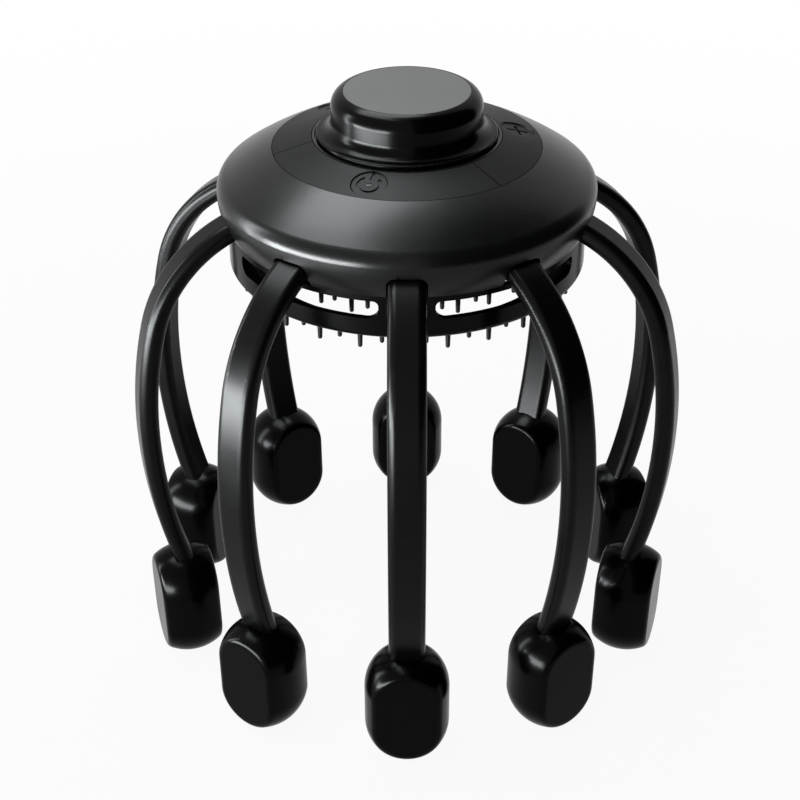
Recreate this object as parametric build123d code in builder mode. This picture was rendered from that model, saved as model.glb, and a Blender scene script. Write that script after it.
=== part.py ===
from build123d import *
import math
import os

# Electric scalp massager: a domed hub with a grip knob and three push buttons on
# top, a comb underneath, and ten springy claws whose heads each hold a motor.
# Millimetres, +Z up. The claw heads stand on z = 0 and the hub's axis is the Z axis.

# ---------------------------------------------------------------- driving sizes

# Claws: ten arms, equally spaced, the first one at the front (-Y)
claw_count = 10
claw_ring_radius = 80.0      # hub axis to the middle of a head
arm_width = 11.6             # across the band
arm_thickness = 6.3
arm_edge_radius = 2.6
arm_widest_radius = 88.6     # centre line of the arm where it bows out most
arm_widest_height = 91.7
arm_bow_radius = 145.0       # from the widest place up to the shoulder bend
arm_bow_angle = 13.75
arm_seat_inset = 1.5         # arm's end lies this far inboard of the head's middle
arm_seat_depth = 6.0         # below the head's top

# Claw heads
head_width = 27.2
head_height = 40.2
head_thickness = 19.3
head_crown = 3.1             # the side wall's bulge beyond the flat facets
head_edge_radius = 2.6       # round each facet
head_tilt = 1.6              # degrees, lower end inwards

# Motor in each head, with its eccentric weight
motor_seat_depth = 8.0       # motor's top below the head's top
motor_diameter = 12.0
motor_length = 15.0
motor_shaft_diameter = 2.0
motor_shaft_grip = 8.0       # length of shaft inside the motor
weight_drop = 0.8            # motor to weight
weight_radius = 5.0
weight_length = 5.0
weight_hub_radius = 2.0
weight_room = 1.0            # under the weight
wire_hole_diameter = 3.0

# Hinge at each arm's root
hinge_radius = 52.2          # hub axis to the trunnions' line
hinge_rise = 6.1             # above the lower edge of the skirt
trunnion_diameter = 3.4
trunnion_length = 2.4        # each side of the arm
splay_limit = 6.5            # degrees outwards from rest

# Hub: dome
hub_base_height = 153.9      # lower edge of the dome's skirt
skirt_radius = 57.15         # at that edge
dome_radius = 60.3           # at its widest
dome_widest_rise = 10.7      # above the skirt's edge
shoulder_angle = 55.0        # degrees of shoulder bend before the flank starts
flank_end_angle = 65.0       # the flank's outward normal at the button ring
wall = 1.8

# Ring of buttons round the knob
panel_outer_radius = 42.5
panel_inner_radius = 29.8
panel_outer_rise = 24.3      # above the skirt's edge
panel_slope = 15.6           # degrees
button_names = ["power_button", "plus_button", "minus_button"]
button_turn = -18.5          # degrees round from the front to the power button
button_thickness = 1.8
button_travel = 0.5
button_seam = 0.3
deck_thickness = 1.6
icon_radius = 35.8           # hub axis to the middle of each symbol
dish_floor_diameter = 10.6   # finger dish round each symbol
dish_depth = 0.5
dish_side_angle = 45.0       # degrees
power_symbol_diameter = 8.0
sign_length = 7.0
symbol_line = 1.1
symbol_depth = 0.4
stem_diameter = 2.6
stem_radius = 32.4
snap_diameter = 2.2
snap_head_diameter = 3.4
snap_head_length = 1.0
snap_radius = 36.0
snap_angle = 45.0            # degrees each side of the symbol
lens_diameter = 1.8
lens_flange_diameter = 2.8
lens_flange_thickness = 0.6

# Knob
platform_rise = 26.7         # knob's seat above the skirt's edge
platform_thickness = 2.0
knob_base_radius = 28.45
knob_base_height = 2.5
knob_radius = 23.8
knob_side_height = 9.0       # above the flare
knob_flare_radius = 4.0      # concave bend from the base into the side
knob_round_width = 3.6       # rounding between the knob's side and its top
knob_round_height = 4.8
knob_corner = 0.5
knob_wall = 2.4
knob_rim = 0.7               # thin ring of housing round the knob's base
inlay_radius = 19.85
inlay_thickness = 0.8
knob_screw_count = 3
knob_screw_turn = 180.0      # degrees round from the front to the first screw
knob_screw_radius = 15.5
knob_boss_diameter = 6.0

# Base plate and clamp ring, which hold the trunnions between them
plate_thickness = 2.0
plinth_radius = 43.6
plinth_depth = 4.75
cradle_inner_radius = 47.3
clamp_height = 5.4
pocket_web = 0.6             # of base plate left under each arm's root
clamp_screw_radius = 50.8

# Comb under the hub
tooth_root_diameter = 1.7
tooth_tip_diameter = 1.4
tooth_root_flare = 0.4       # rounding where a tooth joins its pad
pad_radius = 43.6
pad_thickness = 2.7
pad_teeth = 7.1              # length
pad_rim_inset = 1.1          # of the outermost row of teeth
pad_row_pitch = 3.7          # from row to row
pad_row_count = 11
pad_tooth_pitch = 11.35      # from tooth to tooth in a row
comb_turn = -1.0             # degrees round from the front to a row's first tooth
hoop_depth = 14.05           # below the skirt's edge
hoop_height = 6.4
hoop_lip_radius = 1.5
hoop_wall = 2.05
hoop_shelf_radius = 51.0     # inner edge of the shelf over the bristle ring
hoop_shelf_thickness = 0.8
pillar_turn = 0.0            # degrees round from the front to the first pillar
pillar_width = 17.0
slot_band = 1.75             # of hoop left above each slot
slot_upper_round = 1.7
slot_lower_round = 3.7
foot_inner_radius = 44.3
foot_width = 13.0
foot_thickness = 3.0
hoop_screw_radius = 45.9
hoop_boss_diameter = 4.4
bristle_ring_inner_radius = 48.3
bristle_ring_thickness = 1.9
bristle_teeth = 5.8          # length
bristle_rows = [(53.2, 25), (49.4, 23)]  # radius and number of teeth of each row

# Screws
screw_diameter = 2.5
screw_head_diameter = 4.4
screw_head_height = 1.6
screw_length = 15.0
screw_boss_diameter = 6.6
small_screw_diameter = 2.0
small_screw_head_diameter = 3.4
small_screw_head_height = 1.2
small_screw_length = 7.0
screw_recess_reach = 0.6     # cross recess: share of the head's diameter
screw_recess_width = 0.3     # share of the head's height
screw_recess_depth = 0.6     # share of the head's height

# Electronics
board_radius = 42.0
board_thickness = 1.2
board_rise = 14.8            # board's underside above the skirt's edge
board_post_count = 4
board_post_diameter = 5.0
board_post_radius = 37.0
board_post_turn = 45.0
board_presser_count = 3
board_presser_radius = 22.0
board_presser_turn = 0.0
board_tab_reach = 53.0
switch_size = 4.5
switch_height = 2.0
plunger_diameter = 2.2
plunger_height = 1.0
battery_length = 50.0
battery_width = 34.0
battery_height = 10.0
battery_rib = 1.4
battery_rib_height = 4.0
port_width = 8.94
port_height = 3.26
port_length = 7.35
port_skin = 0.3
port_margin = 3.0            # of board beside the port
port_reach = 57.8            # hub axis to the port's mouth
port_tongue_width = 6.7
port_tongue_thickness = 0.7
port_tongue_length = 4.5

# Clearances
fit_gap = 0.1                # pieces that are put together and stay put
screw_gap = 0.05
bearing_gap = 0.08           # trunnions and shafts
moving_gap = 0.4             # beside moving pieces
button_gap = 0.2             # buttons to the housing
floor_gap = 0.2              # left under a pressed button, and over a raised arm
press_gap = 0.1              # left over a switch when its button is down

# ---------------------------------------------------------------- worked-out places

FRONT = -90.0                # the front of the hub, as an angle from +X
FULL_TURN = 360.0
HALF_TURN = 180.0
claw_pitch = FULL_TURN / claw_count
claw_turns = [claw_pitch * index for index in range(claw_count)]
pillar_count = claw_count // 2
pillar_pitch = FULL_TURN / pillar_count
# Screws and the charging port stand in the bays between two claws
clamp_screw_turn = pillar_turn + claw_pitch / 2
housing_screw_turn = clamp_screw_turn + claw_pitch
port_turn = HALF_TURN - claw_pitch / 2
button_pitch = FULL_TURN / len(button_names)
button_turns = [button_turn + button_pitch * index for index in range(len(button_names))]

hinge_height = hub_base_height + hinge_rise
dome_widest_height = hub_base_height + dome_widest_rise
plate_top = hub_base_height + plate_thickness
clamp_top = hinge_height + clamp_height
platform_height = hub_base_height + platform_rise
knob_top = platform_height + knob_base_height + knob_flare_radius + knob_side_height
board_bottom = hub_base_height + board_rise
board_top = board_bottom + board_thickness
plunger_top = board_top + switch_height + plunger_height
floor_bottom = hub_base_height - plinth_depth
floor_top = floor_bottom + plate_thickness
hoop_bottom = hub_base_height - hoop_depth
hoop_top = hoop_bottom + hoop_height


def on_hub(turn, radius, height):
    """A point: degrees round from the front, distance from the hub's axis, height."""
    angle = math.radians(FRONT + turn)
    return (radius * math.cos(angle), radius * math.sin(angle), height)


def facing_out(turn, radius, height):
    """A plane at that point which faces away from the hub's axis, its y axis up."""
    return Plane(
        origin=on_hub(turn, radius, height),
        x_dir=on_hub(turn + 90, 1, 0),
        z_dir=on_hub(turn, 1, 0),
    )


def polar_sites(count, turn, radius, height):
    """Locations spread evenly round the hub's axis, the first one at a turn."""
    step = FULL_TURN / count
    return [
        Location(on_hub(turn + step * index, radius, height), (0, 0, turn + step * index))
        for index in range(count)
    ]


def save(piece, name):
    piece.label = name
    export_step(piece, f"parts/{name}.step")


os.makedirs("parts", exist_ok=True)

# ---------------------------------------------------------------- claw geometry
# A claw is made in the X-Z plane, where x is the distance from the hub's axis,
# and is then turned round the Z axis to its place.

tilt = math.radians(head_tilt)
head_up = Vector(math.sin(tilt), 0, math.cos(tilt))
head_out = Vector(math.cos(tilt), 0, -math.sin(tilt))
facet_reach = head_width / 2 - head_crown
crown_radius = ((head_thickness / 2) ** 2 + head_crown**2) / (2 * head_crown)
head_middle = Vector(
    claw_ring_radius, 0, (head_height / 2 - crown_radius) * math.cos(tilt) + crown_radius
)
head_plane = Plane(origin=head_middle, x_dir=(0, 1, 0), z_dir=head_out)
arm_end = head_middle + head_up * (head_height / 2 - arm_seat_depth) - head_out * arm_seat_inset
motor_top = head_middle + head_up * (head_height / 2 - motor_seat_depth)
motor_bottom = motor_top - head_up * motor_length
weight_top = motor_bottom - head_up * weight_drop
weight_bottom = weight_top - head_up * weight_length

# Arm's centre line: a long arc from the head to the widest place, a closer bow
# above it, and a shoulder bend that runs into the hinge
bow = math.radians(arm_bow_angle)
bow_end = Vector(
    arm_widest_radius - arm_bow_radius * (1 - math.cos(bow)),
    0,
    arm_widest_height + arm_bow_radius * math.sin(bow),
)
hinge_point = Vector(hinge_radius, 0, hinge_height)
shoulder_chord = hinge_point - bow_end
shoulder_turn = math.radians(shoulder_chord.get_angle(Vector(-math.sin(bow), 0, math.cos(bow))))
shoulder_bend_radius = shoulder_chord.length / (2 * math.sin(shoulder_turn))
shoulder_centre = bow_end - Vector(math.cos(bow), 0, math.sin(bow)) * shoulder_bend_radius

# Middle of the shoulder bend when the claw is splayed as far as it goes
splay = math.radians(splay_limit)
swing = shoulder_centre - hinge_point
splayed_centre = hinge_point + Vector(
    swing.X * math.cos(splay) - swing.Z * math.sin(splay),
    0,
    swing.X * math.sin(splay) + swing.Z * math.cos(splay),
)

with BuildLine(Plane.XZ) as arm_lower_line:
    TangentArc(
        (arm_widest_radius, arm_widest_height),
        (arm_end.X, arm_end.Z),
        tangent=(0, -1),
    )
with BuildLine(Plane.XZ) as arm_line:
    TangentArc(
        (arm_widest_radius, arm_widest_height),
        (arm_end.X, arm_end.Z),
        tangent=(0, -1),
    )
    JernArc(
        start=(arm_widest_radius, arm_widest_height),
        tangent=(0, 1),
        radius=arm_bow_radius,
        arc_size=arm_bow_angle,
    )
    TangentArc(
        (bow_end.X, bow_end.Z),
        (hinge_point.X, hinge_point.Z),
        tangent=(-math.sin(bow), math.cos(bow)),
    )

arm_end_direction = arm_lower_line.line % 1
arm_end_plane = Plane(origin=arm_end, x_dir=(0, 1, 0), z_dir=arm_end_direction)

# Arm: a rounded band swept along that line, with a round root and two trunnions
with BuildPart() as arm:
    with BuildSketch(arm_end_plane):
        RectangleRounded(arm_width, arm_thickness, arm_edge_radius)
    sweep(path=arm_line.line)
    with BuildSketch(Plane.XZ):
        with Locations((hinge_radius, hinge_height)):
            Circle(arm_thickness / 2)
    extrude(amount=arm_width / 2, both=True)
    with BuildSketch(Plane.XZ):
        with Locations((hinge_radius, hinge_height)):
            Circle(trunnion_diameter / 2)
    extrude(amount=arm_width / 2 + trunnion_length, both=True)

cavity_radius = motor_diameter / 2 + fit_gap
cavity_length = motor_length + weight_drop + weight_length + weight_room
straight = (head_height - head_width) / 2


def draw_head_section():
    """Half of the head's section: two flat facets with a crowned side between them."""
    half = head_thickness / 2
    ThreePointArc((facet_reach, -half), (head_width / 2, 0), (facet_reach, half))
    Polyline((facet_reach, half), (0, half), (0, -half), (facet_reach, -half))


# Head: a pill-shaped block between two facets, hollow for the motor and its weight,
# with a pocket for the arm's end and a hole for the motor's wires
with BuildPart() as head:
    with BuildSketch(Plane(origin=head_middle, x_dir=(0, 1, 0), z_dir=head_up)):
        with BuildLine():
            draw_head_section()
        make_face()
        mirror(about=Plane.YZ)
    extrude(amount=straight, both=True)
    for end in (1, -1):
        end_centre = head_middle + head_up * straight * end
        with BuildSketch(Plane(origin=end_centre, x_dir=(0, 1, 0), z_dir=head_up)):
            with BuildLine():
                draw_head_section()
            make_face()
        revolve(axis=Axis(end_centre, head_out * end), revolution_arc=HALF_TURN)
    fillet(head.faces().filter_by(head_plane).edges(), head_edge_radius)
    with BuildSketch(Plane(origin=motor_top, x_dir=(0, 1, 0), z_dir=-head_up)):
        Circle(cavity_radius)
    extrude(amount=cavity_length, mode=Mode.SUBTRACT)
    with BuildSketch(Plane(origin=motor_top, x_dir=(0, 1, 0), z_dir=head_up)):
        Circle(wire_hole_diameter / 2)
    extrude(amount=motor_seat_depth - arm_seat_depth, mode=Mode.SUBTRACT)
    with BuildSketch(arm_end_plane):
        RectangleRounded(
            arm_width + 2 * fit_gap, arm_thickness + 2 * fit_gap, arm_edge_radius + fit_gap
        )
    sweep(path=arm_lower_line.line, mode=Mode.SUBTRACT)

# Motor: a plain can with a bearing bore for the shaft
with BuildPart() as motor:
    with BuildSketch(Plane(origin=motor_top, x_dir=(0, 1, 0), z_dir=-head_up)):
        Circle(motor_diameter / 2)
    extrude(amount=motor_length)
    with BuildSketch(Plane(origin=motor_bottom, x_dir=(0, 1, 0), z_dir=head_up)):
        Circle(motor_shaft_diameter / 2 + bearing_gap)
    extrude(amount=motor_shaft_grip, mode=Mode.SUBTRACT)

# Weight: half a disc pressed on the motor's shaft, the two turning as one piece
with BuildPart() as weight:
    with BuildSketch(Plane(origin=weight_top, x_dir=(0, 1, 0), z_dir=-head_up)):
        Circle(weight_radius)
        with Locations((0, weight_radius)):
            Rectangle(2 * weight_radius, 2 * weight_radius, mode=Mode.INTERSECT)
        Circle(weight_hub_radius)
    extrude(amount=weight_length)
    with BuildSketch(Plane(origin=weight_bottom, x_dir=(0, 1, 0), z_dir=head_up)):
        Circle(motor_shaft_diameter / 2)
    extrude(amount=weight_length + weight_drop + motor_shaft_grip - bearing_gap)

claw_pieces = {"arm": arm, "head": head, "motor": motor, "eccentric": weight}
for number, turn in enumerate(claw_turns, start=1):
    for name, piece in claw_pieces.items():
        save(piece.part.rotate(Axis.Z, FRONT + turn), f"{name}_{number:02d}")

# ---------------------------------------------------------------- claw sockets
# The room that each arm's root needs in the base plate and the clamp ring

pocket_inner = hinge_radius - arm_thickness / 2 - moving_gap
pocket_width = arm_width + 2 * moving_gap
pocket_floor = hub_base_height + pocket_web
pocket_top = hinge_height + arm_thickness / 2 + moving_gap
with BuildPart() as socket_room:
    with BuildSketch(Plane.XY.offset(pocket_floor)):
        with Locations((pocket_inner, 0)):
            Rectangle(dome_radius, pocket_width, align=(Align.MIN, Align.CENTER))
    extrude(amount=pocket_top - pocket_floor)
    with BuildSketch(Plane.XZ):
        with Locations((hinge_radius, hinge_height)):
            Circle(trunnion_diameter / 2 + bearing_gap)
    extrude(amount=arm_width / 2 + trunnion_length + floor_gap, both=True)

# The way out through the skirt, just over the shoulder bend of a splayed arm
way_radius = shoulder_bend_radius + arm_thickness / 2 + floor_gap
with BuildPart() as arm_way:
    with BuildSketch(Plane(origin=splayed_centre, x_dir=(0, 1, 0), z_dir=(1, 0, 0))):
        with Locations((0, way_radius - arm_thickness)):
            RectangleRounded(pocket_width, 2 * arm_thickness, arm_edge_radius + moving_gap)
    revolve(axis=Axis(splayed_centre, (0, 1, 0)), revolution_arc=HALF_TURN / 2)

# ---------------------------------------------------------------- dome profile
# Outside of the dome in the X-Z plane: a skirt arc up to the widest place, a
# shoulder bend and a nearly flat flank up to the ring of buttons

skirt_bulge = dome_radius - skirt_radius
skirt_arc_radius = (dome_widest_rise**2 + skirt_bulge**2) / (2 * skirt_bulge)
skirt_arc_centre = dome_radius - skirt_arc_radius
skirt_inner_radius = skirt_arc_centre + math.sqrt(
    (skirt_arc_radius - wall) ** 2 - dome_widest_rise**2
)
plate_radius = skirt_inner_radius - fit_gap

panel_outer_height = hub_base_height + panel_outer_rise
bend = math.radians(shoulder_angle)
flank_end = math.radians(flank_end_angle)
reach_in = dome_radius - panel_outer_radius
reach_up = panel_outer_height - dome_widest_height
cos_drop = math.cos(bend) - math.cos(flank_end)
sin_rise = math.sin(flank_end) - math.sin(bend)
flank_radius = (reach_in * math.sin(bend) - reach_up * (1 - math.cos(bend))) / (
    cos_drop * math.sin(bend) - sin_rise * (1 - math.cos(bend))
)
shoulder_radius = (reach_up - flank_radius * sin_rise) / math.sin(bend)
shoulder_x = dome_radius - shoulder_radius
flank_x = shoulder_x + (shoulder_radius - flank_radius) * math.cos(bend)
flank_z = dome_widest_height + (shoulder_radius - flank_radius) * math.sin(bend)


def panel_height(radius):
    """Height of the button ring's upper surface."""
    return panel_outer_height + (panel_outer_radius - radius) * math.tan(
        math.radians(panel_slope)
    )


def deck_height(radius):
    """Height of the deck under the buttons, clear of a pressed one."""
    return panel_height(radius) - button_thickness - button_travel - floor_gap


def dome_line(inset, end_radius):
    """Skirt, shoulder and flank, moved in by a wall, up to a distance from the axis."""
    skirt_r = skirt_arc_radius - inset
    lower_x = skirt_arc_centre + math.sqrt(skirt_r**2 - dome_widest_rise**2)
    widest_x = dome_radius - inset
    bend_r = shoulder_radius - inset
    bend_x = shoulder_x + bend_r * math.cos(bend)
    bend_z = dome_widest_height + bend_r * math.sin(bend)
    flank_r = flank_radius - inset
    end_z = flank_z + math.sqrt(flank_r**2 - (end_radius - flank_x) ** 2)
    TangentArc((widest_x, dome_widest_height), (lower_x, hub_base_height), tangent=(0, -1))
    TangentArc((widest_x, dome_widest_height), (bend_x, bend_z), tangent=(0, 1))
    TangentArc((bend_x, bend_z), (end_radius, end_z), tangent=(-math.sin(bend), math.cos(bend)))
    return (lower_x, hub_base_height), (end_radius, end_z)


# ---------------------------------------------------------------- top housing

rim_outer = panel_inner_radius - fit_gap / 2
rim_inner = rim_outer - knob_rim
rim_height = panel_height(panel_inner_radius)
recess_wall = panel_outer_radius + wall
room_rim = rim_inner - platform_thickness

with BuildPart() as dome_solid:
    with BuildSketch(Plane.XZ):
        with BuildLine():
            foot, crest = dome_line(0, panel_outer_radius)
            Polyline(
                crest,
                (panel_outer_radius, deck_height(panel_outer_radius)),
                (rim_outer, deck_height(rim_outer)),
                (rim_outer, rim_height),
                (rim_inner, rim_height),
                (rim_inner, platform_height),
                (0, platform_height),
                (0, hub_base_height),
                foot,
            )
        make_face()
    revolve(axis=Axis.Z)

with BuildPart() as dome_room:
    with BuildSketch(Plane.XZ):
        with BuildLine():
            foot, crest = dome_line(wall, recess_wall)
            Polyline(
                crest,
                (recess_wall, deck_height(recess_wall) - deck_thickness),
                (room_rim, deck_height(room_rim) - deck_thickness),
                (room_rim, platform_height - platform_thickness),
                (0, platform_height - platform_thickness),
                (0, hub_base_height),
                foot,
            )
        make_face()
    revolve(axis=Axis.Z)

# Bosses for the housing screws and pressers for the board, trimmed to the dome
with BuildPart() as dome_bosses:
    with Locations(*polar_sites(pillar_count, housing_screw_turn, clamp_screw_radius, clamp_top)):
        Cylinder(
            screw_boss_diameter / 2,
            platform_height - clamp_top,
            align=(Align.CENTER, Align.CENTER, Align.MIN),
        )
    with Locations(*polar_sites(
        board_presser_count, board_presser_turn, board_presser_radius, board_top
    )):
        Cylinder(
            board_post_diameter / 2,
            platform_height - board_top,
            align=(Align.CENTER, Align.CENTER, Align.MIN),
        )
    add(dome_solid.part, mode=Mode.INTERSECT)

knob_screw_sites = polar_sites(
    knob_screw_count, knob_screw_turn, knob_screw_radius, platform_height
)
screw_seat = hub_base_height + screw_head_height
stem_hole = stem_diameter / 2 + moving_gap
snap_hole = snap_diameter / 2 + moving_gap
lens_hole = lens_flange_diameter / 2 + moving_gap
port_middle = board_bottom - port_height / 2

with BuildPart() as top_housing:
    add(dome_solid.part)
    add(dome_room.part, mode=Mode.SUBTRACT)
    add(dome_bosses.part)
    # Notches in the skirt for the arms
    with PolarLocations(0, claw_count, start_angle=FRONT):
        add(arm_way.part, mode=Mode.SUBTRACT)
    # Screw holes, from below
    with Locations(*polar_sites(pillar_count, housing_screw_turn, clamp_screw_radius, clamp_top)):
        Cylinder(
            screw_diameter / 2 + screw_gap,
            screw_seat + screw_length - clamp_top + screw_gap,
            align=(Align.CENTER, Align.CENTER, Align.MIN),
            mode=Mode.SUBTRACT,
        )
    with Locations(*knob_screw_sites):
        Cylinder(
            small_screw_diameter / 2 + fit_gap,
            2 * platform_thickness,
            mode=Mode.SUBTRACT,
        )
    # Holes in the deck for the buttons' stems and snaps, and for the light
    for turn in button_turns:
        holes = [(turn, stem_radius, stem_hole)]
        holes += [(turn + side * snap_angle, snap_radius, snap_hole) for side in (-1, 1)]
        if turn == button_turn:
            holes.append((turn, icon_radius, lens_hole))
        for hole_turn, hole_radius, hole in holes:
            with Locations(on_hub(hole_turn, hole_radius, deck_height(hole_radius))):
                Cylinder(hole, 4 * deck_thickness, mode=Mode.SUBTRACT)
    # Opening for the charging port
    with BuildSketch(facing_out(port_turn, port_reach - port_length / 2, port_middle)):
        SlotOverall(port_width + 2 * moving_gap, port_height + 2 * moving_gap)
    extrude(amount=port_length, mode=Mode.SUBTRACT)
save(top_housing.part, "top_housing")

# ---------------------------------------------------------------- base plate

with BuildPart() as bottom_housing:
    with BuildSketch(Plane.XZ):
        with BuildLine():
            Polyline(
                (0, floor_bottom),
                (plinth_radius, floor_bottom),
                (plinth_radius, hub_base_height),
                (plate_radius, hub_base_height),
                (plate_radius, hinge_height),
                (cradle_inner_radius, hinge_height),
                (cradle_inner_radius, plate_top),
                (plinth_radius - plate_thickness, plate_top),
                (plinth_radius - plate_thickness, floor_top),
                (0, floor_top),
                close=True,
            )
        make_face()
    revolve(axis=Axis.Z)
    # Bosses for the hoop's screws
    with Locations(*polar_sites(pillar_count, pillar_turn, hoop_screw_radius, plate_top)):
        Cylinder(
            hoop_boss_diameter / 2,
            hinge_height - plate_top,
            align=(Align.CENTER, Align.CENTER, Align.MIN),
        )
    # Posts that carry the board
    post_sites = polar_sites(board_post_count, board_post_turn, board_post_radius, floor_top)
    with Locations(*post_sites):
        Cylinder(
            board_post_diameter / 2,
            board_bottom - floor_top,
            align=(Align.CENTER, Align.CENTER, Align.MIN),
        )
    # Rib round the battery
    with BuildSketch(Plane.XY.offset(floor_top)):
        rib_inner = (battery_length + 2 * fit_gap, battery_width + 2 * fit_gap)
        Rectangle(rib_inner[0] + 2 * battery_rib, rib_inner[1] + 2 * battery_rib)
        Rectangle(*rib_inner, mode=Mode.SUBTRACT)
    extrude(amount=battery_rib_height)
    # Room for the arms' roots and trunnions
    with PolarLocations(0, claw_count, start_angle=FRONT):
        add(socket_room.part, mode=Mode.SUBTRACT)
    # Screw holes
    with Locations(
        *polar_sites(pillar_count, housing_screw_turn, clamp_screw_radius, hub_base_height)
    ):
        Cylinder(
            screw_diameter / 2 + screw_gap,
            2 * (hinge_height - hub_base_height),
            mode=Mode.SUBTRACT,
        )
        Cylinder(
            screw_head_diameter / 2 + fit_gap,
            2 * screw_head_height,
            mode=Mode.SUBTRACT,
        )
    with Locations(
        *polar_sites(pillar_count, clamp_screw_turn, clamp_screw_radius, hinge_height)
    ):
        Cylinder(
            small_screw_diameter / 2 + screw_gap,
            2 * (hinge_height - plate_top),
            mode=Mode.SUBTRACT,
        )
    with Locations(*polar_sites(pillar_count, pillar_turn, hoop_screw_radius, hub_base_height)):
        Cylinder(
            small_screw_diameter / 2 + screw_gap,
            2 * (hinge_height - hub_base_height),
            mode=Mode.SUBTRACT,
        )
save(bottom_housing.part, "bottom_housing")

# ---------------------------------------------------------------- clamp ring

with BuildPart() as arm_clamp_ring:
    with BuildSketch(Plane.XY.offset(hinge_height)):
        Circle(plate_radius)
        Circle(cradle_inner_radius, mode=Mode.SUBTRACT)
    extrude(amount=clamp_height)
    with PolarLocations(0, claw_count, start_angle=FRONT):
        add(socket_room.part, mode=Mode.SUBTRACT)
    for turn, hole in (
        (housing_screw_turn, screw_diameter / 2 + screw_gap),
        (clamp_screw_turn, small_screw_diameter / 2 + screw_gap),
    ):
        with Locations(*polar_sites(pillar_count, turn, clamp_screw_radius, hinge_height)):
            Cylinder(hole, 2 * clamp_height, mode=Mode.SUBTRACT)
    # Seats for the small screws' heads
    with Locations(*polar_sites(pillar_count, clamp_screw_turn, clamp_screw_radius, clamp_top)):
        Cylinder(
            small_screw_head_diameter / 2 + fit_gap,
            2 * small_screw_head_height,
            mode=Mode.SUBTRACT,
        )
save(arm_clamp_ring.part, "arm_clamp_ring")

# ---------------------------------------------------------------- comb hoop

slot_height = hub_base_height - slot_band - hoop_top
pillar_angle = 2 * math.degrees(math.asin(pillar_width / 2 / skirt_radius))
slot_angle = pillar_pitch - pillar_angle
hoop_inner = skirt_radius - hoop_wall
shelf_bottom = hoop_bottom + bristle_ring_thickness + fit_gap
shelf_top = shelf_bottom + hoop_shelf_thickness
foot_bottom = hub_base_height - foot_thickness

# One slot between two pillars, with rounded ends
slot_start = FRONT + pillar_turn + pillar_angle / 2
with BuildPart() as slot_cutter:
    with BuildSketch(Plane.XZ.rotated((0, 0, slot_start))):
        with Locations((hoop_inner - hoop_wall, hoop_top)):
            Rectangle(3 * hoop_wall, slot_height, align=(Align.MIN, Align.MIN))
    revolve(axis=Axis.Z, revolution_arc=slot_angle)
    slot_ends = slot_cutter.faces().filter_by(GeomType.PLANE)
    end_edges = slot_ends.edges().filter_by(GeomType.LINE).filter_by(Axis.Z, reverse=True)
    upper_edges = end_edges.filter_by(lambda edge: edge.center().Z > hoop_top + slot_height / 2)
    lower_edges = end_edges.filter_by(lambda edge: edge.center().Z < hoop_top + slot_height / 2)
    fillet(upper_edges, slot_upper_round)
    slot_ends = slot_cutter.faces().filter_by(GeomType.PLANE)
    fillet(lower_edges, slot_lower_round)

# A thin band with a shelf inside its lower edge, which the bristle ring sits under
with BuildPart() as comb_hoop:
    with BuildSketch(Plane.XZ):
        with BuildLine():
            lip = RadiusArc(
                (skirt_radius - hoop_lip_radius, hoop_bottom),
                (skirt_radius, hoop_bottom + hoop_lip_radius),
                -hoop_lip_radius,
            )
            Polyline(
                lip @ 1,
                (skirt_radius, hub_base_height),
                (hoop_inner, hub_base_height),
                (hoop_inner, shelf_top),
                (hoop_shelf_radius, shelf_top),
                (hoop_shelf_radius, shelf_bottom),
                (hoop_inner, shelf_bottom),
                (hoop_inner, hoop_bottom),
                lip @ 0,
            )
        make_face()
    revolve(axis=Axis.Z)
    # Feet that carry the screws, reaching inwards from the pillars
    for index in range(pillar_count):
        foot_turn = pillar_turn + pillar_pitch * index
        with BuildSketch(facing_out(foot_turn, foot_inner_radius, foot_bottom)):
            Rectangle(foot_width, foot_thickness, align=(Align.CENTER, Align.MIN))
        extrude(amount=hoop_inner + hoop_wall / 2 - foot_inner_radius)
    with PolarLocations(0, pillar_count):
        add(slot_cutter.part, mode=Mode.SUBTRACT)
    # Screw holes with seats for the heads
    with Locations(*polar_sites(pillar_count, pillar_turn, hoop_screw_radius, foot_bottom)):
        Cylinder(
            small_screw_diameter / 2 + screw_gap,
            2 * foot_thickness + fit_gap,
            mode=Mode.SUBTRACT,
        )
        Cylinder(
            small_screw_head_diameter / 2 + fit_gap,
            2 * small_screw_head_height,
            mode=Mode.SUBTRACT,
        )
save(comb_hoop.part, "comb_hoop")


# ---------------------------------------------------------------- teeth

def tooth(length):
    """A tapered comb tooth with a round tip and a flared root, hanging from the origin."""
    tip_radius = tooth_tip_diameter / 2
    root_radius = tooth_root_diameter / 2
    with BuildPart() as one_tooth:
        with BuildSketch(Plane.XZ):
            with BuildLine():
                RadiusArc(
                    (root_radius + tooth_root_flare, 0),
                    (root_radius, -tooth_root_flare),
                    -tooth_root_flare,
                )
                Polyline(
                    (root_radius, -tooth_root_flare),
                    (tip_radius, tip_radius - length),
                )
                TangentArc(
                    (0, -length), (tip_radius, tip_radius - length), tangent=(1, 0)
                )
                Polyline(
                    (root_radius + tooth_root_flare, 0),
                    (0, 0),
                    (0, -length),
                )
            make_face()
        revolve(axis=Axis.Z)
    return one_tooth.part


def tooth_row(count, radius, first, height, one_tooth):
    """Teeth evenly round a row, the first one a share of a pitch past the comb's turn."""
    turn = comb_turn + first * FULL_TURN / count
    return [site * one_tooth for site in polar_sites(count, turn, radius, height)]


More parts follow.
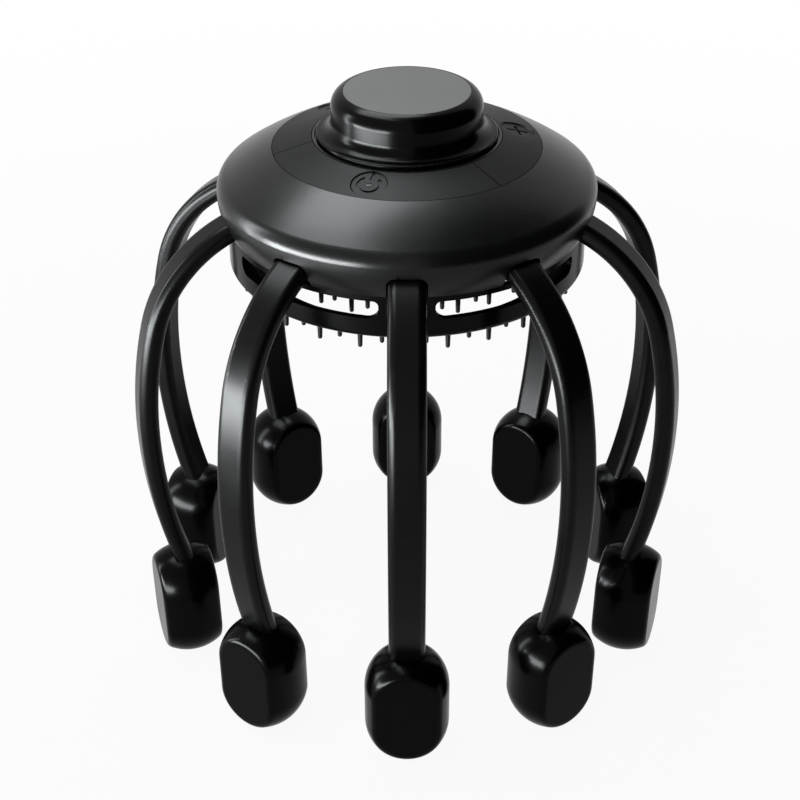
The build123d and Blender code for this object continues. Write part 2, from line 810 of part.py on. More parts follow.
# Two staggered rows of teeth on a flat ring
bristle_tooth = tooth(bristle_teeth)
with BuildPart() as bristle_ring:
    with BuildSketch(Plane.XY.offset(hoop_bottom)):
        Circle(hoop_inner - fit_gap)
        Circle(bristle_ring_inner_radius, mode=Mode.SUBTRACT)
    extrude(amount=bristle_ring_thickness)
    for row, (row_radius, row_teeth) in enumerate(bristle_rows):
        add(tooth_row(row_teeth, row_radius, row / 2, hoop_bottom, bristle_tooth))
save(bristle_ring.part, "bristle_ring")

# Rows of teeth under a round pad, every other row staggered
pad_bottom = floor_bottom - pad_thickness
pad_tooth = tooth(pad_teeth)
with BuildPart() as comb_pad:
    with BuildSketch(Plane.XY.offset(pad_bottom)):
        Circle(pad_radius)
    extrude(amount=pad_thickness)
    for row in range(pad_row_count):
        row_radius = pad_radius - pad_rim_inset - pad_row_pitch * row
        row_teeth = round(2 * math.pi * row_radius / pad_tooth_pitch)
        first = (row + 1) % 2 / 2
        add(tooth_row(row_teeth, row_radius, first, pad_bottom, pad_tooth))
save(comb_pad.part, "comb_pad")

# ---------------------------------------------------------------- knob

base_top = platform_height + knob_base_height
flare_top = base_top + knob_flare_radius
inlay_seat = knob_top - inlay_thickness
flare_edge = knob_radius + knob_flare_radius
round_start = knob_top - knob_round_height
round_edge = knob_radius - knob_round_width

with BuildPart() as knob_body:
    with BuildSketch(Plane.XZ):
        with BuildLine():
            Polyline(
                (knob_base_radius, platform_height),
                (knob_base_radius, base_top),
                (flare_edge, base_top),
            )
            TangentArc((flare_edge, base_top), (knob_radius, flare_top), tangent=(-1, 0))
            Line((knob_radius, flare_top), (knob_radius, round_start))
            TangentArc((knob_radius, round_start), (round_edge, knob_top), tangent=(0, 1))
            Polyline(
                (round_edge, knob_top),
                (inlay_radius + fit_gap, knob_top),
                (inlay_radius + fit_gap, inlay_seat),
                (0, inlay_seat),
                (0, platform_height),
                (knob_base_radius, platform_height),
            )
        make_face()
    revolve(axis=Axis.Z)
    # Round the base's upper edge
    rings = knob_body.edges().filter_by(GeomType.CIRCLE)
    base_rings = [ring for ring in rings if math.isclose(ring.radius, knob_base_radius)]
    fillet(ShapeList(base_rings).sort_by(Axis.Z)[-1], knob_corner)
    # Hollow inside, with bosses for the three screws
    with BuildSketch(Plane.XY.offset(platform_height)):
        Circle(knob_radius - knob_wall)
        with Locations(*polar_sites(knob_screw_count, knob_screw_turn, knob_screw_radius, 0)):
            Circle(knob_boss_diameter / 2, mode=Mode.SUBTRACT)
    extrude(amount=inlay_seat - knob_wall - platform_height, mode=Mode.SUBTRACT)
    with Locations(*knob_screw_sites):
        Cylinder(
            small_screw_diameter / 2 + screw_gap,
            2 * (small_screw_length - platform_thickness + screw_gap),
            mode=Mode.SUBTRACT,
        )
save(knob_body.part, "knob_body")

with BuildPart() as knob_inlay:
    with BuildSketch(Plane.XY.offset(inlay_seat)):
        Circle(inlay_radius)
    extrude(amount=inlay_thickness)
save(knob_inlay.part, "knob_inlay")

# ---------------------------------------------------------------- buttons

button_inner = panel_inner_radius + button_gap
button_outer = panel_outer_radius - button_gap
seam_angle = math.degrees(button_seam / ((button_inner + button_outer) / 2))
stem_bottom = plunger_top + button_travel + press_gap
snap_top = deck_height(snap_radius + snap_head_diameter / 2) - deck_thickness - press_gap
slope = math.radians(panel_slope)


def icon_plane(turn, depth):
    """Plane of a button's surface at its symbol, sunk by a depth, y towards the knob."""
    normal = Vector(*on_hub(turn, math.sin(slope), math.cos(slope)))
    surface = Vector(*on_hub(turn, icon_radius, panel_height(icon_radius)))
    return Plane(origin=surface - normal * depth, x_dir=on_hub(turn + 90, 1, 0), z_dir=normal)


def draw_symbol(name):
    """The symbol sunk into each button: power, plus or minus."""
    if name == "power_button":
        ring = power_symbol_diameter / 2
        Circle(ring)
        Circle(ring - symbol_line, mode=Mode.SUBTRACT)
        with Locations((0, ring)):
            Rectangle(4 * symbol_line, 3 * symbol_line, mode=Mode.SUBTRACT)
            Rectangle(symbol_line, ring)
    else:
        Rectangle(sign_length, symbol_line)
    if name == "plus_button":
        Rectangle(symbol_line, sign_length)


for name, turn in zip(button_names, button_turns):
    with BuildPart() as button:
        with BuildSketch(Plane.XZ.rotated((0, 0, FRONT + turn - (button_pitch - seam_angle) / 2))):
            with BuildLine():
                Polyline(
                    (button_inner, panel_height(button_inner)),
                    (button_outer, panel_height(button_outer)),
                    (button_outer, panel_height(button_outer) - button_thickness),
                    (button_inner, panel_height(button_inner) - button_thickness),
                    close=True,
                )
            make_face()
        revolve(axis=Axis.Z, revolution_arc=button_pitch - seam_angle)
        # Stem over the switch
        under = panel_height(stem_radius) - button_thickness / 2
        with Locations(on_hub(turn, stem_radius, stem_bottom)):
            Cylinder(
                stem_diameter / 2,
                under - stem_bottom,
                align=(Align.CENTER, Align.CENTER, Align.MIN),
            )
        # Two snaps that hold the button in the deck
        snap_root = panel_height(snap_radius) - button_thickness / 2
        snap_bottom = snap_top - snap_head_length
        for side in (-1, 1):
            with Locations(on_hub(turn + side * snap_angle, snap_radius, snap_bottom)):
                Cylinder(
                    snap_diameter / 2,
                    snap_root - snap_bottom,
                    align=(Align.CENTER, Align.CENTER, Align.MIN),
                )
                Cone(
                    snap_diameter / 2,
                    snap_head_diameter / 2,
                    snap_head_length,
                    align=(Align.CENTER, Align.CENTER, Align.MIN),
                )
        # Finger dish and symbol
        with BuildSketch(icon_plane(turn, dish_depth)):
            Circle(dish_floor_diameter / 2)
        extrude(amount=2 * dish_depth, taper=-dish_side_angle, mode=Mode.SUBTRACT)
        with BuildSketch(icon_plane(turn, dish_depth + symbol_depth)):
            draw_symbol(name)
        extrude(amount=2 * symbol_depth + dish_depth, mode=Mode.SUBTRACT)
        if name == "power_button":
            with Locations(on_hub(turn, icon_radius, panel_height(icon_radius))):
                Cylinder(
                    lens_diameter / 2 + screw_gap, 4 * button_thickness, mode=Mode.SUBTRACT
                )
    save(button.part, name)

# Light window in the power button, held by a flange under it
lens_top = panel_height(icon_radius) - dish_depth
flange_top = panel_height(icon_radius + lens_flange_diameter / 2) - button_thickness
with BuildPart() as power_lens:
    with Locations(on_hub(button_turn, icon_radius, flange_top)):
        Cylinder(
            lens_diameter / 2,
            lens_top - flange_top,
            align=(Align.CENTER, Align.CENTER, Align.MIN),
        )
        Cylinder(
            lens_flange_diameter / 2,
            lens_flange_thickness,
            align=(Align.CENTER, Align.CENTER, Align.MAX),
        )
save(power_lens.part, "power_lens")

# ---------------------------------------------------------------- electronics

port_way = Location((0, 0, 0), (0, 0, FRONT + port_turn))
with BuildPart() as main_board:
    with BuildSketch(Plane.XY.offset(board_bottom)):
        Circle(board_radius)
        with Locations(port_way):
            tab_width = port_width + 2 * port_margin
            Rectangle(board_tab_reach, tab_width, align=(Align.MIN, Align.CENTER))
    extrude(amount=board_thickness)
save(main_board.part, "main_board")

# Three tactile switches on the board, one under each button's stem
with BuildPart() as tact_switches:
    for turn in button_turns:
        with Locations(Location(on_hub(turn, stem_radius, board_top), (0, 0, turn))):
            Box(
                switch_size,
                switch_size,
                switch_height,
                align=(Align.CENTER, Align.CENTER, Align.MIN),
            )
            Cylinder(
                plunger_diameter / 2,
                switch_height + plunger_height,
                align=(Align.CENTER, Align.CENTER, Align.MIN),
            )
save(tact_switches.part, "tact_switches")

# Chips and connector on the board: place, then length, width and height
top_parts = [
    ((0, 0), (7.0, 7.0, 0.9)),
    ((-11, 6), (4.0, 4.0, 0.9)),
    ((-12, -6), (5.0, 5.0, 2.6)),
    ((11, -7), (5.0, 2.5, 1.1)),
]
under_parts = [((28, 0), (6.0, 9.0, 4.0)), ((-30, 4), (4.0, 4.0, 1.0))]
light_size = (2.0, 1.3, 0.8)
with BuildPart() as board_parts:
    for (x, y), size in top_parts:
        with Locations((x, y, board_top)):
            Box(*size, align=(Align.CENTER, Align.CENTER, Align.MIN))
    for (x, y), size in under_parts:
        with Locations((x, y, board_bottom)):
            Box(*size, align=(Align.CENTER, Align.CENTER, Align.MAX))
    light_site = on_hub(button_turn, icon_radius + lens_diameter / 2, board_top)
    with Locations(Location(light_site, (0, 0, button_turn))):
        Box(*light_size, align=(Align.CENTER, Align.CENTER, Align.MIN))
save(board_parts.part, "board_parts")

# Charging port: a USB-C shell under the board's tab, with its tongue
with BuildPart() as charging_port:
    with BuildSketch(facing_out(port_turn, port_reach, port_middle)):
        SlotOverall(port_width, port_height)
    extrude(amount=-port_length)
    with BuildSketch(facing_out(port_turn, port_reach, port_middle)):
        SlotOverall(port_width - 2 * port_skin, port_height - 2 * port_skin)
    extrude(amount=-(port_length - port_skin), mode=Mode.SUBTRACT)
    with BuildSketch(facing_out(port_turn, port_reach - port_length, port_middle)):
        Rectangle(port_tongue_width, port_tongue_thickness)
    extrude(amount=port_tongue_length + port_skin)
save(charging_port.part, "charging_port")

with BuildPart() as battery_cell:
    with Locations((0, 0, floor_top)):
        Box(
            battery_length,
            battery_width,
            battery_height,
            align=(Align.CENTER, Align.CENTER, Align.MIN),
        )
    upright = battery_cell.edges().filter_by(Axis.Z)
    fillet(upright, battery_rib)
save(battery_cell.part, "battery_cell")


# ---------------------------------------------------------------- screws

def screw(diameter, length, head_diameter, head_height):
    """A pan-head screw with a cross recess, its head's seat at the origin, pointing up."""
    with BuildPart() as one_screw:
        Cylinder(head_diameter / 2, head_height, align=(Align.CENTER, Align.CENTER, Align.MAX))
        Cylinder(diameter / 2, length, align=(Align.CENTER, Align.CENTER, Align.MIN))
        with BuildSketch(Plane.XY.offset(-head_height)):
            reach = head_diameter * screw_recess_reach
            width = head_height * screw_recess_width
            Rectangle(reach, width)
            Rectangle(width, reach)
        extrude(amount=head_height * screw_recess_depth, mode=Mode.SUBTRACT)
    return one_screw.part


housing_screw = screw(screw_diameter, screw_length, screw_head_diameter, screw_head_height)
small_screw = screw(
    small_screw_diameter,
    small_screw_length,
    small_screw_head_diameter,
    small_screw_head_height,
)
upside_down = Location((0, 0, 0), (HALF_TURN, 0, 0))

with BuildPart() as housing_screws:
    sites = polar_sites(pillar_count, housing_screw_turn, clamp_screw_radius, screw_seat)
    add([site * housing_screw for site in sites])
save(housing_screws.part, "housing_screws")

# The same small screw holds the clamp ring, the hoop and the knob
hoop_seat = foot_bottom + small_screw_head_height
clamp_seat = clamp_top - small_screw_head_height
knob_seat = platform_height - platform_thickness
with BuildPart() as small_screws:
    sites = polar_sites(pillar_count, clamp_screw_turn, clamp_screw_radius, clamp_seat)
    add([site * upside_down * small_screw for site in sites])
    sites = polar_sites(pillar_count, pillar_turn, hoop_screw_radius, hoop_seat)
    sites += polar_sites(knob_screw_count, knob_screw_turn, knob_screw_radius, knob_seat)
    add([site * small_screw for site in sites])
save(small_screws.part, "small_screws")
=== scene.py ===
# %% [markdown]
# # An electric scalp massager
#
# The massager is a black dome that sits in the palm, with a knob and three flat buttons on
# top, a soft comb underneath and ten springy arms that each end in a vibrating head. All
# that shows of it is moulded, so the shapes come from the CAD model as they are, and what
# is left to do here is what the eye reads as plastic: how black it is, how sharply it
# mirrors the lamps, and how its skin breaks that mirror up.
#
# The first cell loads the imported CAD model. Its parts already stand at their real size and
# place, in metres, and they are never moved.

# %% Load the frame
import math

import bpy
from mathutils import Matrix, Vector

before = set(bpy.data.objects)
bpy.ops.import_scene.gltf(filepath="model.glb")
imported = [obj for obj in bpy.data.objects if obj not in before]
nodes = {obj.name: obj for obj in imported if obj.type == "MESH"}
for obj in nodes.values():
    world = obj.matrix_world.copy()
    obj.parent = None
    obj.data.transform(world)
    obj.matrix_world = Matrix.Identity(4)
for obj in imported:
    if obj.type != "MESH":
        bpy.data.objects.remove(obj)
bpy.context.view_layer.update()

# %% [markdown]
# ## Camera
#
# A product like this is shown from a little above, so that the top of the dome and the
# heads are both in view. The camera stands in front of the massager, on its middle line,
# and looks down at it. A long lens from more than half a metre away keeps the near heads
# from looking much larger than the far ones.

# %% Camera
MM = 0.001                      # metres in a millimetre
CAMERA_STANDOFF = 539.4         # mm in front of the hub's axis
CAMERA_HEIGHT = 411.0           # mm above the floor
CAMERA_TILT = 31.215            # degrees below the horizon
LENS = 83.476                   # mm, on the sensor below
SENSOR = 36.0                   # mm
SIDE_SHIFT = -0.008735          # shares of the frame's width

camera_data = bpy.data.cameras.new("camera")
camera_data.lens = LENS
camera_data.sensor_width = SENSOR
camera_data.shift_x = SIDE_SHIFT
camera = bpy.data.objects.new("camera", camera_data)
camera.location = (0, -CAMERA_STANDOFF * MM, CAMERA_HEIGHT * MM)
camera.rotation_euler = (math.radians(90 - CAMERA_TILT), 0, 0)
bpy.context.scene.collection.objects.link(camera)
bpy.context.scene.camera = camera
bpy.context.scene.view_settings.view_transform = "Standard"
print("camera at", tuple(round(x, 3) for x in camera.location), "lens", LENS, "mm")

# %% [markdown]
# ## Two helpers
#
# Colours are written as the sRGB hex values that a colour picker shows. Blender's shaders
# work in linear light, so one function does the conversion. Another adds a shader node: its
# own settings come first, and then its inputs, each of which is either a plain value or the
# output of an earlier node, which gets linked.

# %% Helpers
def linear(hex_code):
    """An sRGB hex colour, such as "#1a1a1c", as linear RGBA."""
    shares = [int(hex_code[place : place + 2], 16) / 255 for place in (1, 3, 5)]
    light = [s / 12.92 if s <= 0.04045 else ((s + 0.055) / 1.055) ** 2.4 for s in shares]
    return (*light, 1.0)


def add_node(tree, kind, settings=None, inputs=None):
    """Adds a node to a tree, with its settings and with its inputs set or linked."""
    made = tree.nodes.new(kind)
    for name, value in (settings or {}).items():
        setattr(made, name, value)
    for name, value in (inputs or {}).items():
        if isinstance(value, bpy.types.NodeSocket):
            tree.links.new(value, made.inputs[name])
        else:
            made.inputs[name].default_value = value
    return made


def new_material(name):
    """A material with an empty node tree."""
    material = bpy.data.materials.new(name)
    material.use_nodes = True
    material.node_tree.nodes.clear()
    return material


print("mid grey #808080 in linear light:", round(linear("#808080")[0], 3))

# %% [markdown]
# ## Studio
#
# Black plastic has hardly any colour of its own: what one sees is the room in it. So the
# lamps are laid out for their reflections, and there are four:
#
# - a wide, low softbox at the left front draws the bright band round the dome's shoulder,
#   the light on the left arms and the highlight in the knob's side
# - a tall strip at the far left puts a thin line down the left edge of each arm
# - a big softbox hung over the back makes the broad glow on the dome's front
# - a small lamp high at the left front adds the sparks on the heads
#
# A lamp's brightness is given as its radiance, because that is what a mirror shows, and its
# power follows from its area. The three big ones only work in reflections. The light that
# makes colours visible comes from the small lamp and the pale room, which together light a
# white card to about white, whatever the reflections need.

# %% Lamps
DAYLIGHT = "#f7fcfe"            # the faint blue of studio lamps
CLAW_MIDDLE = Vector((0, 0, 0.075))     # m, half way down the claws
DOME_MIDDLE = Vector((0, 0, 0.16))      # m, at the foot of the dome
KNOB_MIDDLE = Vector((0, 0, 0.19))      # m, in the knob


def around(azimuth, elevation, distance):
    """A place round the hub's axis in metres. Azimuth 0 is the front, positive to the right."""
    turn = math.radians(azimuth)
    rise = math.radians(elevation)
    return distance * Vector((
        math.sin(turn) * math.cos(rise),
        -math.cos(turn) * math.cos(rise),
        math.sin(rise),
    ))


def softbox(name, place, target, width, height, radiance, in_gloss_only=True):
    """A rectangular area lamp that faces a target, its size in metres."""
    data = bpy.data.lights.new(name, "AREA")
    data.shape = "RECTANGLE"
    data.size = width
    data.size_y = height
    data.energy = radiance * math.pi * width * height
    data.color = linear(DAYLIGHT)[:3]
    lamp = bpy.data.objects.new(name, data)
    lamp.location = place
    lamp.rotation_mode = "QUATERNION"
    lamp.rotation_quaternion = (place - target).to_track_quat("Z", "Y")
    lamp.visible_camera = False
    lamp.visible_diffuse = not in_gloss_only
    bpy.context.scene.collection.objects.link(lamp)
    print(name, "at", tuple(round(x, 2) for x in place), "power", round(data.energy, 2), "W")


softbox(
    "side_softbox", CLAW_MIDDLE + around(azimuth=-54, elevation=0, distance=0.40), CLAW_MIDDLE,
    width=0.42, height=0.10, radiance=85,
)
softbox(
    "tall_strip", KNOB_MIDDLE + around(azimuth=-96, elevation=0, distance=0.45), KNOB_MIDDLE,
    width=0.06, height=0.36, radiance=30,
)
softbox(
    "over_shoulder", DOME_MIDDLE + around(azimuth=-138, elevation=67, distance=0.75), DOME_MIDDLE,
    width=0.60, height=0.40, radiance=18,
)
softbox(
    "top_light", DOME_MIDDLE + around(azimuth=-52, elevation=72, distance=0.9), DOME_MIDDLE,
    width=0.12, height=0.12, radiance=14, in_gloss_only=False,
)

# %% [markdown]
# A black flag, as photographers call it, is a dark card that stands just outside the
# picture. This one stands round the right side and leans in over the top, and it keeps the
# pale room out of the plastic there. It is hidden from the camera, so that it doesn't stand
# in other views either.

# %% Flag
flag_material = new_material("black_velvet_card")
tree = flag_material.node_tree
velvet = add_node(tree, "ShaderNodeBsdfDiffuse", None, {"Color": linear("#060606")})
add_node(tree, "ShaderNodeOutputMaterial", None, {"Surface": velvet.outputs[0]})

FLAG_AZIMUTHS = range(10, 121, 10)                         # degrees, one for each fold
FLAG_PROFILE = [(0.55, 0.0), (0.55, 0.75), (0.12, 0.95)]   # distance and height in metres
folds = len(FLAG_AZIMUTHS)
corners = [
    around(azimuth, 0, distance) + Vector((0, 0, height))
    for distance, height in FLAG_PROFILE
    for azimuth in FLAG_AZIMUTHS
]
faces = [
    (first, first + 1, first + folds + 1, first + folds)
    for tier in range(len(FLAG_PROFILE) - 1)
    for first in range(tier * folds, (tier + 1) * folds - 1)
]
flag_mesh = bpy.data.meshes.new("flag")
flag_mesh.from_pydata(corners, [], faces)
flag_mesh.materials.append(flag_material)
flag = bpy.data.objects.new("flag", flag_mesh)
flag.visible_camera = False
bpy.context.scene.collection.objects.link(flag)
print("flag of", len(flag_mesh.polygons), "panels")

# %% [markdown]
# The room round the lamps is pale. It is full white to the camera and in reflections, and
# only a soft fill to everything else, so the background can be white without adding light.
# The floor does the same, but near the massager it keeps a small share of its real paint,
# in which the shadow shows.

# %% World and floor
ROOM_FILL = 0.75                # strength of the room as a light
FLOOR_GLOW = 0.93               # share of plain white in the floor as the camera sees it
FLOOR_FADE = (0.2, 0.7)         # m from the hub's axis: from there on the share rises to 1
FLOOR_SIZE = 8.0                # m
FLOOR_DROP = 0.05               # mm below the heads, so that nothing touches it

world = bpy.data.worlds.new("pale_room")
world.use_nodes = True
bpy.context.scene.world = world
world.node_tree.nodes.clear()


def seen_directly(tree):
    """1 for camera, glossy and transmission rays, which should find a white background."""
    path = add_node(tree, "ShaderNodeLightPath")
    eye_or_gloss = add_node(
        tree, "ShaderNodeMath", {"operation": "MAXIMUM"},
        {0: path.outputs["Is Camera Ray"], 1: path.outputs["Is Glossy Ray"]},
    )
    return add_node(
        tree, "ShaderNodeMath", {"operation": "MAXIMUM"},
        {0: eye_or_gloss.outputs[0], 1: path.outputs["Is Transmission Ray"]},
    ).outputs[0]


white = linear("#ffffff")
tree = world.node_tree
fill = add_node(tree, "ShaderNodeBackground", None, {"Color": white, "Strength": ROOM_FILL})
plain = add_node(tree, "ShaderNodeBackground", None, {"Color": white, "Strength": 1.0})
room = add_node(
    tree, "ShaderNodeMixShader", None,
    {0: seen_directly(tree), 1: fill.outputs[0], 2: plain.outputs[0]},
)
add_node(tree, "ShaderNodeOutputWorld", None, {"Surface": room.outputs[0]})

floor_material = new_material("painted_studio_floor")
tree = floor_material.node_tree
paint = add_node(tree, "ShaderNodeBsdfDiffuse", None, {"Color": linear("#f2f2f2")})
glow = add_node(tree, "ShaderNodeEmission", None, {"Color": white, "Strength": 1.0})
floor_place = add_node(tree, "ShaderNodeTexCoord")
reach = add_node(
    tree, "ShaderNodeVectorMath", {"operation": "LENGTH"}, {0: floor_place.outputs["Object"]}
)
whiteness = add_node(
    tree, "ShaderNodeMapRange", {"interpolation_type": "SMOOTHSTEP"},
    {
        "Value": reach.outputs["Value"],
        "From Min": FLOOR_FADE[0], "From Max": FLOOR_FADE[1],
        "To Min": FLOOR_GLOW, "To Max": 1.0,
    },
)
share = add_node(
    tree, "ShaderNodeMath", {"operation": "MULTIPLY"},
    {0: seen_directly(tree), 1: whiteness.outputs[0]},
)
lit = add_node(
    tree, "ShaderNodeMixShader", None,
    {0: share.outputs[0], 1: paint.outputs[0], 2: glow.outputs[0]},
)
# From below the floor is clear, so that the underside can be looked at too
side = add_node(tree, "ShaderNodeNewGeometry")
clear = add_node(tree, "ShaderNodeBsdfTransparent")
top_only = add_node(
    tree, "ShaderNodeMixShader", None,
    {0: side.outputs["Backfacing"], 1: lit.outputs[0], 2: clear.outputs[0]},
)
add_node(tree, "ShaderNodeOutputMaterial", None, {"Surface": top_only.outputs[0]})

half = FLOOR_SIZE / 2
floor_mesh = bpy.data.meshes.new("floor")
floor_mesh.from_pydata(
    [(-half, -half, 0), (half, -half, 0), (half, half, 0), (-half, half, 0)], [], [(0, 1, 2, 3)]
)
floor_mesh.materials.append(floor_material)
floor = bpy.data.objects.new("floor", floor_mesh)
floor.location.z = -FLOOR_DROP * MM
bpy.context.scene.collection.objects.link(floor)
print("floor", FLOOR_SIZE, "m, room fill", ROOM_FILL)

# %% [markdown]
# ## One recipe for every skin
#
# Moulded plastic, rubber and plated steel differ in colour and gloss, but what makes each
# look real is the same: nothing on it is perfectly even. So one recipe covers them all, and
# three things in it vary over the surface:
#
# - the grain, a fine bump. A moulding has the skin of its steel mould, so polished steel
#   gives piano black, and a spark-eroded mould gives a dry satin.
# - the gloss, which drifts a little where the melt froze sooner or a hand has touched it
# - the colour, by a shade, because carbon black never spreads quite evenly
#
# The patterns are worked out in millimetres, in coordinates that are fixed to the piece.
# The constants of a skin, such as its specular level, are set straight on the shader. A Mix
# node has sockets of the same name for numbers and for colours, so those are picked by
# their index: 0 is the factor, 6 and 7 are the two colours, and output 2 is the mix.

# %% Recipe
NOISE_LOW, NOISE_HIGH = 0.3, 0.7        # noise seldom leaves this span


def in_millimetres(tree):
    """The surface's own coordinates in millimetres, fixed to the piece."""
    coordinates = add_node(tree, "ShaderNodeTexCoord")
    return add_node(
        tree, "ShaderNodeVectorMath", {"operation": "SCALE"},
        {0: coordinates.outputs["Object"], "Scale": 1 / MM},
    ).outputs[0]


def skin(name, dark, light, roughness, drift, grain, depth, constants, wave=9.0, sag=0.0):
    """A skin. Lengths are in mm: grain and its depth, and a slow wave and its sag."""
    material = new_material(name)
    tree = material.node_tree
    place = in_millimetres(tree)
    clouds = add_node(
        tree, "ShaderNodeTexNoise", None,
        {"Vector": place, "Scale": 1 / wave, "Detail": 2.0, "Roughness": 0.5},
    ).outputs["Fac"]
    speckle = add_node(
        tree, "ShaderNodeTexNoise", None,
        {"Vector": place, "Scale": 1 / grain, "Detail": 2.0, "Roughness": 0.6},
    ).outputs["Fac"]
    colour = add_node(
        tree, "ShaderNodeMix", {"data_type": "RGBA"},
        {0: clouds, 6: linear(dark), 7: linear(light)},
    )
    gloss = add_node(
        tree, "ShaderNodeMapRange", None,
        {
            "Value": clouds,
            "From Min": NOISE_LOW, "From Max": NOISE_HIGH,
            "To Min": roughness - drift, "To Max": roughness + drift,
        },
    )
    slow = add_node(
        tree, "ShaderNodeBump", None,
        {"Strength": 1.0 if sag else 0.0, "Distance": sag * MM, "Height": clouds},
    )
    fine = add_node(
        tree, "ShaderNodeBump", None,
        {"Strength": 1.0, "Distance": depth * MM, "Height": speckle, "Normal": slow.outputs[0]},
    )
    shader = add_node(
        tree, "ShaderNodeBsdfPrincipled", None,
        {
            "Base Color": colour.outputs[2],
            "Roughness": gloss.outputs[0],
            "Normal": fine.outputs[0],
            **constants,
        },
    )
    add_node(tree, "ShaderNodeOutputMaterial", None, {"Surface": shader.outputs[0]})
    print("made", name)
    return material


def dress(material, *names):
    """Gives CAD nodes a material. Their meshes stay as they are."""
    for name in names:
        mesh = nodes[name].data
        mesh.materials.clear()
        mesh.materials.append(material)


# %% [markdown]
# ## Dome
#
# The dome is ABS from a vapour-blasted mould: black, with a satin skin that turns each lamp
# into a broad soft glow. The real grain is about 0.05 mm, too fine to see from here, so it
# is drawn three times as coarse. ABS has an IOR of 1.54. Its specular level is set low,
# because the whole pale room is mirrored in it, and deep black needs a weak mirror.

# %% Dome
ABS_IOR = 1.54
satin_abs = skin(
    "satin_abs", dark="#0d0e0e", light="#131414", roughness=0.28, drift=0.008,
    grain=0.15, depth=0.002, constants={"IOR": ABS_IOR, "Specular IOR Level": 0.14},
)
dress(satin_abs, "top_housing")

# %% [markdown]
# ## Buttons
#
# The three buttons are ABS as well, from a coarser spark-eroded mould, so that a finger
# finds them without looking. That grain is about 0.1 mm, drawn three times as coarse here.
# It scatters the lamps more widely, so the buttons look drier and flatter than the dome.

# %% Buttons
spark_eroded_abs = skin(
    "spark_eroded_abs", dark="#0b0c0c", light="#111212", roughness=0.42, drift=0.02,
    grain=0.32, depth=0.010, constants={"IOR": ABS_IOR, "Specular IOR Level": 0.055},
)
dress(spark_eroded_abs, "power_button", "plus_button", "minus_button")

# %% [markdown]
# The light window in the power button is milky polycarbonate, which spreads the light of
# the diode on the board below it. It is off, so all that shows is a pale dot.

# %% Light window
POLYCARBONATE_IOR = 1.585
milky_polycarbonate = skin(
    "milky_polycarbonate", dark="#7c8082", light="#878b8d", roughness=0.30, drift=0.03,
    grain=0.2, depth=0.001, constants={"IOR": POLYCARBONATE_IOR, "Specular IOR Level": 0.4},
)
dress(milky_polycarbonate, "power_lens")

# %% [markdown]
# ## Knob and comb hoop
#
# The knob and the hoop round the comb are ABS from a polished mould. Their reflections have
# edges, and they bend a little, because a polished wall always sinks by some microns over
# the ribs behind it. That sink is the slow wave here, 4 microns over 14 mm.

# %% Knob and hoop
polished_abs = skin(
    "polished_abs", dark="#040404", light="#060606", roughness=0.20, drift=0.02,
    grain=0.9, depth=0.0004, wave=14.0, sag=0.004,
    constants={"IOR": ABS_IOR, "Specular IOR Level": 0.05},
)
dress(polished_abs, "knob_body", "comb_hoop")

# %% [markdown]
# The round inlay in the knob's top is a polycarbonate film, frosted on its face and printed
# grey behind. The frost is finer than a hair's breadth, so it is drawn at 0.12 mm.

# %% Knob inlay
frosted_film = skin(
    "frosted_film", dark="#505252", light="#565858", roughness=0.42, drift=0.03,
    grain=0.12, depth=0.002, constants={"IOR": POLYCARBONATE_IOR, "Specular IOR Level": 0.38},
)
dress(frosted_film, "knob_inlay")

# %% [markdown]
# ## Arms
#
# Each arm has to spring open by several degrees for years, so it is nylon rather than ABS.
# Nylon flows into a mould less crisply, and its skin is a bit softer in gloss than the
# knob's. The soft rounding of its long edges is in the CAD model, and catches the strip.

# %% Arms
claw_numbers = [f"{number:02d}" for number in range(1, 11)]
satin_nylon = skin(
    "satin_nylon", dark="#070707", light="#0b0b0b", roughness=0.29, drift=0.02,
    grain=0.4, depth=0.001, wave=12.0, sag=0.002,
    constants={"IOR": 1.53, "Specular IOR Level": 0.07},
)
dress(satin_nylon, *["arm_" + number for number in claw_numbers])

# %% [markdown]
# ## Heads
#
# The heads touch the scalp. They are ABS shells with a thin coat of soft-touch lacquer, a
# matt-leaning black that still shows a lamp as a small soft spark on each rounded shoulder.

# %% Heads
soft_touch_lacquer = skin(
    "soft_touch_lacquer", dark="#030303", light="#050505", roughness=0.22, drift=0.02,
    grain=0.9, depth=0.0006, wave=14.0, sag=0.004,
    constants={"IOR": 1.5, "Specular IOR Level": 0.04},
)
dress(soft_touch_lacquer, *["head_" + number for number in claw_numbers])

# %% [markdown]
# ## Comb
#
# The pad of teeth and the ring of bristles are silicone rubber. Its IOR is only 1.41, so it
# mirrors weakly, and its skin is dry. The grain of the mould, 0.1 mm, is drawn at 0.3 mm.

# %% Comb
silicone_rubber = skin(
    "silicone_rubber", dark="#070707", light="#0b0b0b", roughness=0.55, drift=0.05,
    grain=0.3, depth=0.003, constants={"IOR": 1.41, "Specular IOR Level": 0.2},
)
dress(silicone_rubber, "comb_pad", "bristle_ring")

# %% [markdown]
# ## Inside the dome
#
# Nothing of the inside shows while the dome is closed, but the model is also looked at with
# its parts moved or taken off, so each has its own finish. The base plate and the ring that
# clamps the arms are plain ABS, with no polish or grain put into the mould. The board is
# glass cloth in epoxy under a green lacquer, whose threads, half a millimetre apart, show
# through as a faint bump. Chips and switches are mineral-filled epoxy and nylon.

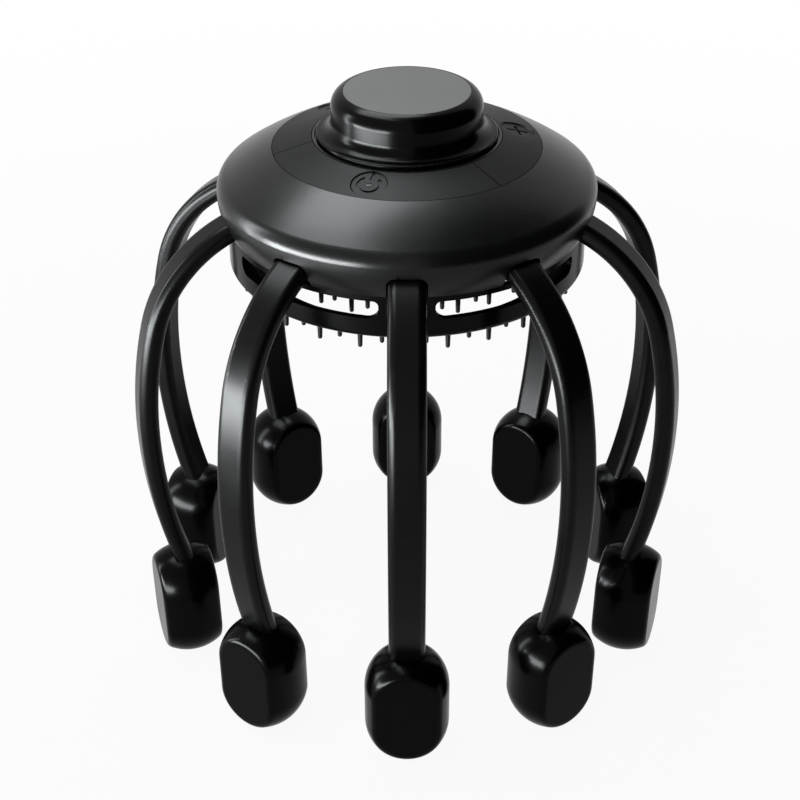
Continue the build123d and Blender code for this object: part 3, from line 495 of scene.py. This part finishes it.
# %% Inner mouldings and board
plain_abs = skin(
    "plain_abs", dark="#0a0a0a", light="#101010", roughness=0.50, drift=0.05,
    grain=0.25, depth=0.004, constants={"IOR": ABS_IOR, "Specular IOR Level": 0.2},
)
dress(plain_abs, "bottom_housing", "arm_clamp_ring")

board_lacquer = skin(
    "board_lacquer", dark="#0c3a20", light="#10472a", roughness=0.32, drift=0.04,
    grain=0.5, depth=0.004, constants={"IOR": 1.57, "Specular IOR Level": 0.4},
)
dress(board_lacquer, "main_board")

chip_epoxy = skin(
    "chip_epoxy", dark="#17181a", light="#1f2022", roughness=0.55, drift=0.05,
    grain=0.12, depth=0.002, wave=3.0, constants={"IOR": 1.57, "Specular IOR Level": 0.35},
)
dress(chip_epoxy, "board_parts", "tact_switches")

# %% [markdown]
# ## Metal parts
#
# There are four metal finishes in the massager. The charging port's shell and the motors'
# cans are drawn steel with nickel plating, warm and fairly bright. The eccentric weights are
# sintered tungsten alloy, pressed from powder, which leaves them dull and finely pitted. The
# screws are steel blackened in a salt bath. The battery cell's pouch is laminated aluminium
# foil, soft and slightly creased. A metal's colour is its reflection's colour, and its IOR
# stays at the default.

# %% Metal parts
METAL = {"Metallic": 1.0}
nickel_plated_steel = skin(
    "nickel_plated_steel", dark="#b3aca0", light="#c0b9ad", roughness=0.27, drift=0.05,
    grain=0.35, depth=0.001, wave=3.0, constants=METAL,
)
dress(nickel_plated_steel, "charging_port", *["motor_" + number for number in claw_numbers])

sintered_tungsten = skin(
    "sintered_tungsten", dark="#6f6c69", light="#7c7976", roughness=0.45, drift=0.06,
    grain=0.15, depth=0.003, wave=2.0, constants=METAL,
)
dress(sintered_tungsten, *["eccentric_" + number for number in claw_numbers])

blackened_steel = skin(
    "blackened_steel", dark="#242425", light="#2f2f31", roughness=0.38, drift=0.06,
    grain=0.2, depth=0.002, wave=1.5, constants=METAL,
)
dress(blackened_steel, "housing_screws", "small_screws")

foil_pouch = skin(
    "foil_pouch", dark="#a9abae", light="#b6b8bb", roughness=0.33, drift=0.05,
    grain=0.6, depth=0.004, wave=12.0, sag=0.12, constants=METAL,
)
dress(foil_pouch, "battery_cell")

bare = [name for name, node in nodes.items() if not node.data.materials]
print("CAD nodes without a finish:", bare or "none")
